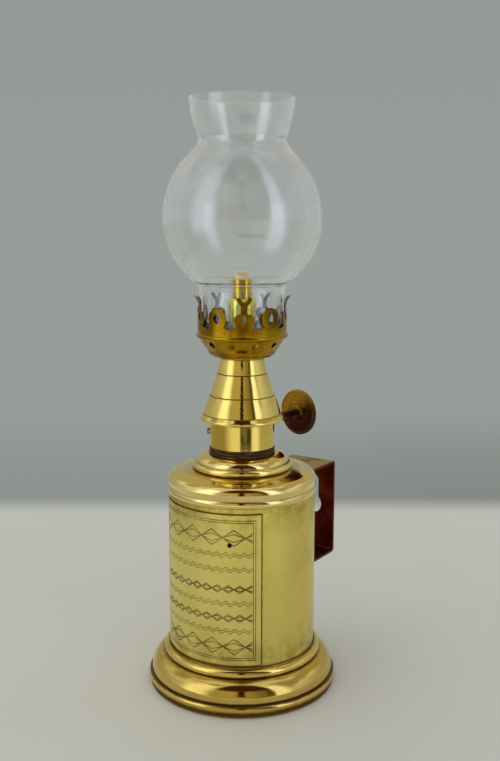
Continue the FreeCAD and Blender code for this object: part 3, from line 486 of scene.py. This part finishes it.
def label_brass():
    """Front plate in fine brushing, with its engraving worn faint in places, a pit and dark edges."""
    material, n = new_material("label_brass")
    where = n.where()
    x, y, z = n.parts(where)
    blot = n.noise(where, 20 * MM, 4.0, 0.6)
    along = round_can(n, x, y)
    depth = n.times(past_border(n, along, z), -1.0)
    faint = n.scaled(n.noise(where, 6 * MM), 0.9, 0.4)
    marks = n.math("MULTIPLY", engraving(n, along, depth, z), faint, clamp=True)
    from_pit = n.radius(n.minus(along, PIT_ALONG), n.minus(z, PIT_HEIGHT))
    pit = n.step(from_pit, PIT_RADIUS + PIT_BLUR, PIT_RADIUS - PIT_BLUR)
    color = n.tint((0.85, 0.73, 0.22), n.step(blot, 0.4, 0.75), 0.4, (0.63, 0.49, 0.10))
    color = stained_ends(n, where, z, color)
    color = n.tint(color, marks, 0.9, PIT_BROWN)
    color = n.mix(pit, color, (0.02, 0.01, 0.004))
    color = n.tint(color, edges(n, 0.3 * MM), 0.7, PIT_BROWN)
    rough = n.scaled(marks, 0.2, n.scaled(blot, 0.12, 0.27))
    normal = bump(n, n.plus(marks, pit), -0.1 * MM, 0.8, fine_rings(n, where))
    finish_shader(n, normal, color, rough, Metallic=1.0)
    return material


def tarnished_brass():
    """Knob: brown tarnish, painted golden towards its upper left in the picture as if lit there, with
    painted shadow near black in its corners.
    """
    material, n = new_material("tarnished_brass")
    where = n.where()
    x, y, z = n.parts(where)
    blot = n.noise(where, 9 * MM, 4.0, 0.6)
    grain = n.noise(where, 0.5 * MM, 3.0, 0.6)
    # Painted light: gold towards the upper left, dark red-brown in painted shade away from it
    up_left = n.times(n.minus(z, n.along(x, y, TO_RIGHT)), SLANT)
    share = n.scaled(blot, 12 * MM, up_left)
    start = (KNOB_HEIGHT - KNOB_ASIDE) * SLANT + KNOB_LIGHT_START
    color = n.mix(n.step(share, start - 3 * MM, start + 5 * MM), (0.055, 0.009, 0.003), (0.50, 0.27, 0.025))
    # Painted shadow, near black, in the corners round the hub and the shaft
    color = n.tint(color, crevice(n, 4 * MM), 0.9, (0.02, 0.006, 0.003))
    color = n.tint(color, n.step(grain, 0.5, 0.8), 0.4, (0.04, 0.010, 0.004))
    color = n.tint(color, edges(n, 0.5 * MM), 0.35, (0.50, 0.30, 0.07))
    rough = n.scaled(blot, 0.25, 0.22)
    finish_shader(n, bump(n, grain, 0.02 * MM, 0.5), color, rough, Metallic=0.9)
    return material


def strap_brass():
    """Wall strap: red-brown old lacquer painted dark as shade, and olive brass painted lit on its top, worn
    along its edges.
    """
    material, n = new_material("strap_brass")
    where = n.where()
    z = n.parts(where)[2]
    blot = n.noise(where, 10 * MM, 4.0, 0.65)
    grain = n.noise(where, 0.7 * MM, 3.0, 0.6)
    up = n.parts(n.add("ShaderNodeNewGeometry").outputs["Normal"])[2]
    # Painted light and shade: upward faces high on the strap are lit olive brass, the rest dark red-brown
    # in shade
    top = n.times(n.step(n.scaled(blot, 0.3, up), 0.55, 0.85), n.step(z, *STRAP_LIT_TOP))
    dark = n.mix(n.step(blot, 0.42, 0.7), (0.062, 0.005, 0.002), (0.15, 0.020, 0.007))
    pale = n.mix(n.step(blot, 0.4, 0.70), (0.39, 0.30, 0.040), (0.20, 0.135, 0.016))
    pale = n.tint(pale, n.step(grain, 0.4, 0.75), 0.5, (0.12, 0.075, 0.02))
    color = n.mix(top, dark, pale)
    color = n.tint(color, edges(n, 0.5 * MM), 0.3, (0.40, 0.24, 0.06))
    # Painted shade, near black, in its corners and its slit
    color = n.tint(color, crevice(n, 2 * MM), 0.9, (0.015, 0.008, 0.004))
    rough = n.scaled(blot, 0.2, 0.26)
    finish_shader(n, bump(n, grain, 0.02 * MM, 0.5), color, rough, Metallic=0.6, Specular_IOR_Level=0.1)
    return material


def screw_steel():
    """Steel with brown stains, bright on its edges."""
    material, n = new_material("screw_steel")
    blot = n.noise(n.where(), 1 * MM)
    color = n.mix(blot, (0.20, 0.16, 0.12), (0.60, 0.56, 0.48))
    color = n.mix(edges(n, 0.2 * MM), color, (0.75, 0.72, 0.65))
    finish_shader(n, bump(n, blot, 0.03 * MM, 0.5), color, n.scaled(blot, 0.2, 0.25), Metallic=0.9)
    return material


def washer_leather():
    """Oiled leather, near black in its grooves, with golden rings painted on as highlights along its
    ridges.
    """
    material, n = new_material("washer_leather")
    where = n.where()
    grain = n.noise(where, 0.5 * MM, 4.0, 0.65)
    band = n.noise(n.stretch(where, 0.1, 0.1, 1.0), 0.6 * MM, 2.0)
    color = n.mix(grain, (0.012, 0.004, 0.001), (0.05, 0.022, 0.005))
    # Painted highlights: golden rings along the washer's ridges
    color = n.tint(color, n.step(band, 0.5, 0.75), 0.6, (0.25, 0.15, 0.008))
    normal = bump(n, n.plus(grain, band), 0.06 * MM, 0.6)
    finish_shader(n, normal, color, n.scaled(grain, 0.3, 0.35), Metallic=0.0, Specular_IOR_Level=0.2)
    return material


def cotton(name, pale, dark, size):
    """Soft cotton: fine fuzz, darker between its strands, painted shade in its hollows, and a soft sheen.
    """
    material, n = new_material(name)
    where = n.where()
    fuzz = n.noise(n.stretch(where, 1.0, 1.0, 0.4), size, 4.0, 0.7)
    cloud = n.noise(where, size * 8, 3.0, 0.6)
    color = n.tint(pale, n.step(fuzz, 0.45, 0.75), 0.35, dark)
    color = n.tint(color, n.step(cloud, 0.45, 0.75), 0.3, dark)
    # Painted shade in hollows where little sky reaches
    color = n.tint(color, crevice(n, size), 0.8, dark)
    rough = n.scaled(fuzz, 0.1, 0.85)
    finish_shader(n, bump(n, fuzz, size * 0.25, 0.6), color, rough, Metallic=0.0, Sheen_Weight=0.3)
    return material


def clear_glass():
    """Blown glass with faint waves, a strong gloss, and a faint haze that the flame has left."""
    material, n = new_material("clear_glass")
    where = n.where()
    z = n.parts(where)[2]
    smear = n.noise(where, 20 * MM, 4.0, 0.6)
    normal = bump(n, n.noise(where, 35 * MM, 2.0), 0.4 * MM, 0.3)
    rough = n.times(n.step(smear, 0.5, 0.8), 0.03)
    shader = finish_shader(n, normal, (0.995, 1.0, 1.0), rough, Metallic=0.0, IOR=1.46, Coat_Weight=0.55,
                           Coat_IOR=1.6, Coat_Roughness=0.10, Transmission_Weight=0.97)
    haze = n.times(n.scaled(n.step(smear, 0.35, 0.75), 0.028, 0.030), n.step(z, *HAZE))
    n.put(shader.inputs["Transmission Weight"], n.minus(0.998, haze))
    return material


looks = {
    "polished_brass": turned_brass("polished_brass", BRIGHT_BRASS, DEEP_BRASS, 0.075, spread=0.05),
    "can_brass": can_brass(),
    "label_brass": label_brass(),
    "gallery_brass": turned_brass("gallery_brass", (0.42, 0.240, 0.008), (0.11, 0.048, 0.002), 0.17, 0.9,
                                  (0.64, 0.43, 0.04), 0.12, 0.75, waves=0.18 * MM),
    "tarnished_brass": tarnished_brass(),
    "plain_brass": turned_brass("plain_brass", (0.70, 0.52, 0.16), (0.42, 0.27, 0.05), 0.25, 0.5),
    "screw_steel": screw_steel(),
    "washer_leather": washer_leather(),
    "cotton": cotton("cotton", (0.78, 0.74, 0.64), (0.48, 0.42, 0.30), 1.0 * MM),
    "wick_cotton": cotton("wick_cotton", (1.0, 0.93, 0.64), (0.95, 0.74, 0.38), 0.4 * MM),
    "clear_glass": clear_glass(),
}
own_looks = {
    "wall_bracket": strap_brass(),
    "foot": turned_brass("foot_brass", (0.82, 0.62, 0.19), (0.48, 0.29, 0.045), 0.085, 0.35, spread=0.05,
                         bands=FOOT_SEAMS),
    "burner_cone": turned_brass("cone_brass", BRIGHT_BRASS, DEEP_BRASS, 0.07, spread=0.04,
                                bands=CONE_SEAMS),
    "neck_ring": turned_brass("ring_brass", (0.88, 0.70, 0.27), DEEP_BRASS, 0.07, 0.2, spread=0.04,
                              bands=RING_SEAMS, grime_and_shade=0.5),
    "reservoir_shoulder": turned_brass("shoulder_brass", (0.88, 0.70, 0.28), DEEP_BRASS, 0.07, 0.2,
                                       spread=0.04, bands=SHOULDER_SEAMS, grime_and_shade=0.55),
    "knob_shaft": turned_brass("shaft_brass", (0.10, 0.05, 0.014), (0.03, 0.010, 0.004), 0.35, 0.8),
    "wick_tube": turned_brass("tube_brass", (0.88, 0.60, 0.05), (0.42, 0.24, 0.01), 0.10, 0.5),
    "tube_sleeve": turned_brass("sleeve_brass", (1.0, 0.90, 0.13), (0.72, 0.58, 0.05), 0.25, 0.3,
                                heated=0.2),
}
for name, node in nodes.items():
    for slot in node.material_slots:
        slot.material = own_looks.get(name) or looks[slot.material.name]


def new_piece(name, corners, faces, material):
    mesh = bpy.data.meshes.new(name)
    mesh.from_pydata(corners, [], faces)
    mesh.materials.append(material)
    piece = bpy.data.objects.new(name, mesh)
    bpy.context.scene.collection.objects.link(piece)
    return piece


def round_way(turn):
    """Level direction at an angle round the axis."""
    return Vector((math.cos(turn), math.sin(turn), 0))


def from_axis(point):
    return Vector((point.x, point.y, 0)).normalized()


def ease(value, low, high):
    share = min(1.0, max(0.0, (value - low) / (high - low)))
    return share * share * (3 - 2 * share)


class Fibres:
    """Thin closed tubes along lists of points, for one mesh."""

    def __init__(self):
        self.corners = []
        self.faces = []

    def tube(self, points, wide, thick, sides, outward):
        """One tube, wide and thick given at each point, its flat side facing outward."""
        first = len(self.corners)
        last = len(points) - 1
        for index, point in enumerate(points):
            along = (points[min(index + 1, last)] - points[max(index - 1, 0)]).normalized()
            across = along.cross(outward(point)).normalized()
            out = across.cross(along)
            for corner in range(sides):
                turn = 2 * math.pi * corner / sides
                offset = across * math.cos(turn) * wide[index] + out * math.sin(turn) * thick[index]
                self.corners.append(point + offset)
        for index in range(last):
            low = first + index * sides
            for corner in range(sides):
                after = (corner + 1) % sides
                self.faces.append((low + corner, low + after, low + sides + after, low + sides + corner))
        self.faces.append(tuple(reversed(range(first, first + sides))))
        self.faces.append(tuple(range(first + last * sides, first + (last + 1) * sides)))


def add_plait(fibres):
    """A round core, and two sets of strands round it that cross over and under."""
    middle = WICK_RADIUS - PLAIT_SWING - YARN_THICK
    rise = PLAIT_PITCH / PLAIT_STEPS
    count = int((FRAY_START + PLAIT_PAST_FRAY - WICK_LOW) / rise)
    core = []
    girth = []
    for step in range(count + 1):
        height = WICK_LOW + rise * step
        share = WICK_NARROW + (1 - WICK_NARROW) * ease(height, WICK_NARROW_END, WICK_NARROW_END + MM)
        taper = ease(height, FRAY_START - TAPER_BEFORE_FRAY, FRAY_START + TAPER_PAST_FRAY)
        share *= 1 - TAPER_SHARE * taper
        core.append(Vector((0, 0, height)))
        girth.append(share)
    inner = [share * (middle - PLAIT_SWING) for share in girth]
    fibres.tube(core, inner, inner, CORE_SIDES, lambda point: Vector((1, 0, 0)))
    wide = [YARN_WIDE * share for share in girth]
    thick = [YARN_THICK * share for share in girth]
    for way in (1, -1):
        for strand in range(PLAIT_STRANDS):
            points = []
            for step in range(count + 1):
                turn = 2 * math.pi * (way * step / PLAIT_STEPS + strand / PLAIT_STRANDS)
                swing = way * PLAIT_SWING * math.cos(2 * math.pi * PLAIT_STRANDS * step / PLAIT_STEPS)
                out = (middle + swing) * girth[step]
                points.append(Vector((out * math.cos(turn), out * math.sin(turn), core[step].z)))
            fibres.tube(points, wide, thick, YARN_SIDES, from_axis)


def add_fray(fibres):
    """Short curled fibres that stand up from the end of the plait and end in a dome."""
    chance = random.Random(FRAY_SEED)
    thin = [FRAY_ROOT - FRAY_THINNING * step for step in range(FRAY_STEPS + 1)]
    for fibre in range(FRAY_FIBRES):
        out = math.sqrt(chance.random())
        turn = chance.uniform(0, 2 * math.pi)
        root = round_way(turn) * out * WICK_RADIUS * ROOT_SHARE
        root.z = FRAY_START + chance.uniform(-0.2, 0.5) * MM
        lean = turn + chance.uniform(-0.5, 0.5)
        reach = out * WICK_RADIUS * chance.uniform(0.90, 1.07)
        tip = round_way(lean) * reach
        dome = max(0.0, 1 - (reach / WICK_RADIUS / DOME_SHARE) ** 4)
        tip.z = FRAY_START + (WICK_TOP - FRAY_START - FRAY_ROOT) * dome * chance.uniform(0.82, 1.0)
        curl = Vector((chance.uniform(-1, 1), chance.uniform(-1, 1), chance.uniform(-0.3, 0.3))) * FRAY_CURL
        points = []
        for step in range(FRAY_STEPS + 1):
            share = step / FRAY_STEPS
            points.append(root.lerp(tip, share) + curl * math.sin(math.pi * share))
        fibres.tube(points, thin, thin, FRAY_SIDES, lambda point: Vector((0.6, 0.8, 0.01)))


def plaited_wick():
    """Plaited cotton wick with a frayed round end."""
    fibres = Fibres()
    add_plait(fibres)
    add_fray(fibres)
    piece = new_piece("plaited_wick", fibres.corners, fibres.faces, looks["wick_cotton"])
    piece.data.shade_smooth()
    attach(piece, "wick_slide")
    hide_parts("wick")


def add_run(outline, radius, height, steps):
    """Equal steps from the outline's last point to a new radius and height."""
    start_radius, start_height = outline[-1]
    for step in range(1, steps + 1):
        share = step / steps
        outline.append((start_radius + (radius - start_radius) * share,
                        start_height + (height - start_height) * share))


def wad_outline():
    """Closed outline of the wadding's section, as radius and height: floor, corner, side, top and bore."""
    outline = [(WAD_BORE, WAD_LOW)]
    add_run(outline, WAD_RADIUS - WAD_CORNER, WAD_LOW, WAD_FLOOR_STEPS)
    for step in range(1, WAD_CORNER_STEPS + 1):
        turn = math.pi / 2 * step / WAD_CORNER_STEPS
        radius = WAD_RADIUS - WAD_CORNER * (1 - math.sin(turn))
        outline.append((radius, WAD_LOW + WAD_CORNER * (1 - math.cos(turn))))
    add_run(outline, WAD_RADIUS, WAD_TOP, WAD_SIDE_STEPS)
    add_run(outline, WAD_BORE, WAD_TOP, WAD_TOP_STEPS)
    add_run(outline, WAD_BORE, WAD_LOW, WAD_SIDE_STEPS)
    return outline[:-1]


def cotton_wadding():
    """Raw cotton pushed into the can, lumpy, with a bore for the wick."""
    outline = wad_outline()
    corners = []
    faces = []
    middle_radius = (WAD_RADIUS + WAD_BORE) / 2
    middle_height = Vector((0, 0, (WAD_LOW + WAD_TOP) / 2))
    for out, height in outline:
        for side in range(WAD_SIDES):
            way = round_way(2 * math.pi * side / WAD_SIDES)
            point = way * out + Vector((0, 0, height))
            dent = 0.5 + 0.5 * lumps.noise(point * COARSE_LUMPS) + 0.25 * lumps.noise(point * FINE_LUMPS)
            inward = way * middle_radius + middle_height - point
            inward.x *= DENT_LEVEL_SHARE
            inward.y *= DENT_LEVEL_SHARE
            corners.append(point + inward.normalized() * max(0.0, dent) * WAD_DENT)
    for row in range(len(outline)):
        here = row * WAD_SIDES
        above = (row + 1) % len(outline) * WAD_SIDES
        for side in range(WAD_SIDES):
            after = (side + 1) % WAD_SIDES
            faces.append((here + side, here + after, above + after, above + side))
    piece = new_piece("cotton_wadding", corners, faces, looks["cotton"])
    piece.data.shade_smooth()
    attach(piece, "reservoir")
    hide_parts("cotton_filling")


plaited_wick()
cotton_wadding()


def room_ahead(n, turn, height, odd):
    """Dim room before the lamp, with a dark knotted post, an olive screen right of it, and dark above."""
    low = n.mix(n.step(turn, -6.0, 30.0), (0.50, 0.44, 0.22), (0.25, 0.20, 0.085))
    knots = n.noise(n.vector(0.0, 0.0, n.plus(height, n.times(turn, 0.1))), 1.6, 2.0)
    from_post = n.scaled(n.minus(knots, 0.5), -20.0, n.absolute(n.plus(turn, 1.0)))
    post = n.times(n.step(from_post, 7.0, 3.5), n.step(n.scaled(odd, 16.0, height), 14.0, 22.0))
    low = n.mix(post, low, (0.03, 0.010, 0.002))
    screen = n.times(n.step(turn, 29.0, 33.0), n.step(n.scaled(odd, 10.0, height), 8.0, 15.0))
    low = n.tint(low, screen, 0.75, (0.06, 0.045, 0.008))
    color = n.mix(n.step(height, 38.0, 48.0), low, (0.055, 0.022, 0.006))
    return n.mix(n.step(height, 74.0, 84.0), color, (0.30, 0.24, 0.11))


def room_beside(n, turn, height, odd):
    """Pale room at the lamp's sides with two tall windows, turning golden grey behind it."""
    side = n.absolute(turn)
    behind = n.mix(n.step(height, 10.0, 30.0), (0.38, 0.40, 0.36), (0.46, 0.40, 0.21))
    color = n.mix(n.step(side, 66.0, 120.0), (0.68, 0.74, 0.78), (0.46, 0.48, 0.44))
    lofty = n.mix(n.step(odd, 0.42, 0.55), (0.40, 0.36, 0.26), (0.86, 0.88, 0.84))
    color = n.mix(n.step(height, 14.0, 34.0), color, lofty)
    color = n.mix(n.step(side, 110.0, 150.0), color, behind)
    windows = n.larger(n.between(turn, *RIGHT_WINDOW), n.between(turn, *LEFT_WINDOW))
    windows = n.times(windows, n.step(height, 66.0, 52.0))
    light = n.mix(n.step(turn, -20.0, 20.0), (1.42, 1.48, 1.52), (1.30, 1.42, 1.70))
    color = n.mix(windows, color, light)
    return n.mix(n.step(height, 66.0, 80.0), color, (0.74, 0.76, 0.74))


def behind_glass(n, turn, plain):
    """What glass and the metal inside it mirror: a plain colour, a dim front and two windows."""
    color = n.mix(n.between(turn, *GLASS_DIM_FRONT), plain, (0.22, 0.21, 0.15))
    windows = n.larger(n.between(turn, *GLASS_LEFT_WINDOW), n.between(turn, *GLASS_RIGHT_WINDOW))
    return n.mix(windows, color, (1.62, 1.78, 2.05))


def surroundings(n, x, y, z):
    """Colours that metal and glass mirror above the horizon. Heights are angles in degrees."""
    turn = n.turn(x, y)
    level = n.larger(n.radius(x, y), 0.0001)
    height = n.times(n.math("ARCTAN2", z, level), DEGREES)
    odd = n.noise(n.vector(n.times(turn, 0.012), 0.0, n.times(height, 0.02)), 0.6)
    ahead = room_ahead(n, turn, height, odd)
    mirrored = n.mix(n.between(turn, *DIM_ROOM), room_beside(n, turn, height, odd), ahead)
    plain = n.mix(n.step(height, 20.0, 60.0), (0.50, 0.52, 0.52), (0.55, 0.58, 0.60))
    glassy = n.mix(n.step(height, 34.0, 58.0), behind_glass(n, turn, plain), plain)
    return n.mix(n.ray_has("Transmission Depth"), mirrored, glassy)


def low_mirror(n, x, y):
    """Colours that upright metal mirrors from the far table, where a dark box stands before the lamp."""
    turn = n.turn(x, y)
    reach = n.radius(x, y)
    color = n.mix(n.step(turn, -70.0, -30.0), (0.32, 0.29, 0.16), (0.88, 0.88, 0.66))
    color = n.mix(n.step(turn, 34.0, 44.0), color, (0.98, 1.00, 0.95))
    color = n.mix(n.step(turn, 52.0, 70.0), color, (0.46, 0.46, 0.34))
    color = n.mix(n.step(n.absolute(turn), 120.0, 160.0), color, (0.38, 0.40, 0.36))
    window = n.times(n.between(turn, *LEFT_WINDOW), n.step(reach, *WINDOW_REACH))
    color = n.mix(window, color, (1.38, 1.44, 1.46))
    box = n.times(n.between(turn, *DARK_BOX), n.between(reach, *BOX_REACH))
    color = n.mix(box, color, (0.020, 0.018, 0.003))
    plain = (0.46, 0.48, 0.47)
    glassy = n.mix(n.step(reach, *GLASS_REACH), plain, behind_glass(n, turn, plain))
    return n.mix(n.ray_has("Transmission Depth"), color, glassy)


def table_and_wall():
    """Pale table, painted as the grey wall beyond its far edge."""
    material, n = new_material("table")
    where = n.where()
    x, y = n.parts(where)[:2]
    away = n.along(x, y, -TO_CAMERA)
    beyond = n.step(away, TABLE_END - TABLE_BLUR, TABLE_END + TABLE_BLUR)
    table_color = n.mix(n.step(n.noise(where, CLOUD_SIZE), 0.35, 0.7), TABLE_GREY, TABLE_WARM)
    wall_foot = n.mix(n.step(n.along(x, y, TO_RIGHT), *CORNER_FADE), WALL_LOW, WALL_CORNER)
    wall = n.mix(n.step(away, *WALL_FADE), wall_foot, WALL)
    diffuse = n.add("ShaderNodeBsdfDiffuse", {"Color": table_color})
    glow = n.add("ShaderNodeEmission", {"Color": wall, "Strength": 1.0})
    seen = n.add("ShaderNodeMixShader", {0: beyond, 1: diffuse.outputs[0], 2: glow.outputs[0]})
    far = n.add("ShaderNodeEmission", {"Color": low_mirror(n, x, y), "Strength": 1.0})
    mirrored = n.times(n.ray_has("Glossy Depth"), n.step(n.radius(x, y), *MIRROR_START))
    mixed = n.add("ShaderNodeMixShader", {0: mirrored, 1: seen.outputs[0], 2: far.outputs[0]})
    n.add("ShaderNodeOutputMaterial", {0: mixed.outputs[0]})
    size = TABLE_HALF
    corners = [(-size, -size, 0), (size, -size, 0), (size, size, 0), (-size, size, 0)]
    table = new_piece("table", corners, [(0, 1, 2, 3)], material)


def room():
    """Grey wall for the camera and through glass, mirrored windows for metal, even light for the rest."""
    world = bpy.data.worlds.new("room")
    bpy.context.scene.world = world
    world.use_nodes = True
    n = Nodes(world.node_tree)
    x, y, z = n.parts(n.add("ShaderNodeTexCoord").outputs["Generated"])
    wall = n.mix(n.step(z, -0.05, 0.25), WALL, WALL_HIGH)
    even = n.mix(n.step(n.along(x, y, -TO_RIGHT), -0.6, 0.9), (0.95, 0.95, 0.94), (1.45, 1.44, 1.40))
    color = n.mix(n.ray_has("Glossy Depth"), wall, surroundings(n, x, y, z))
    color = n.mix(n.ray_has("Diffuse Depth"), color, even)
    background = n.add("ShaderNodeBackground", {"Color": color, "Strength": 1.0})
    n.add("ShaderNodeOutputWorld", {0: background.outputs[0]})


def camera():
    """Camera of the photograph."""
    data = bpy.data.cameras.new("camera")
    data.sensor_width = SENSOR
    data.lens = FOCAL_PIXELS / max(PICTURE) * SENSOR
    data.clip_start = NEAR_CLIP
    data.clip_end = FAR_CLIP
    eye = bpy.data.objects.new("camera", data)
    bpy.context.scene.collection.objects.link(eye)
    level = -TO_CAMERA * math.cos(CAMERA_YAW) + TO_RIGHT * math.sin(CAMERA_YAW)
    ahead = level * math.cos(CAMERA_PITCH)
    ahead.z = -math.sin(CAMERA_PITCH)
    right = ahead.cross(Vector((0, 0, 1))).normalized()
    tilt = Matrix.Rotation(CAMERA_ROLL, 3, ahead)
    up = tilt @ right.cross(ahead)
    right = tilt @ right
    turn = Matrix((right, up, -ahead)).transposed()
    place = TO_CAMERA * CAMERA_DISTANCE + Vector((0, 0, CAMERA_HEIGHT))
    eye.matrix_world = Matrix.Translation(place) @ turn.to_4x4()
    bpy.context.scene.camera = eye


table_and_wall()
room()
camera()
bpy.context.scene.view_settings.view_transform = "Standard"
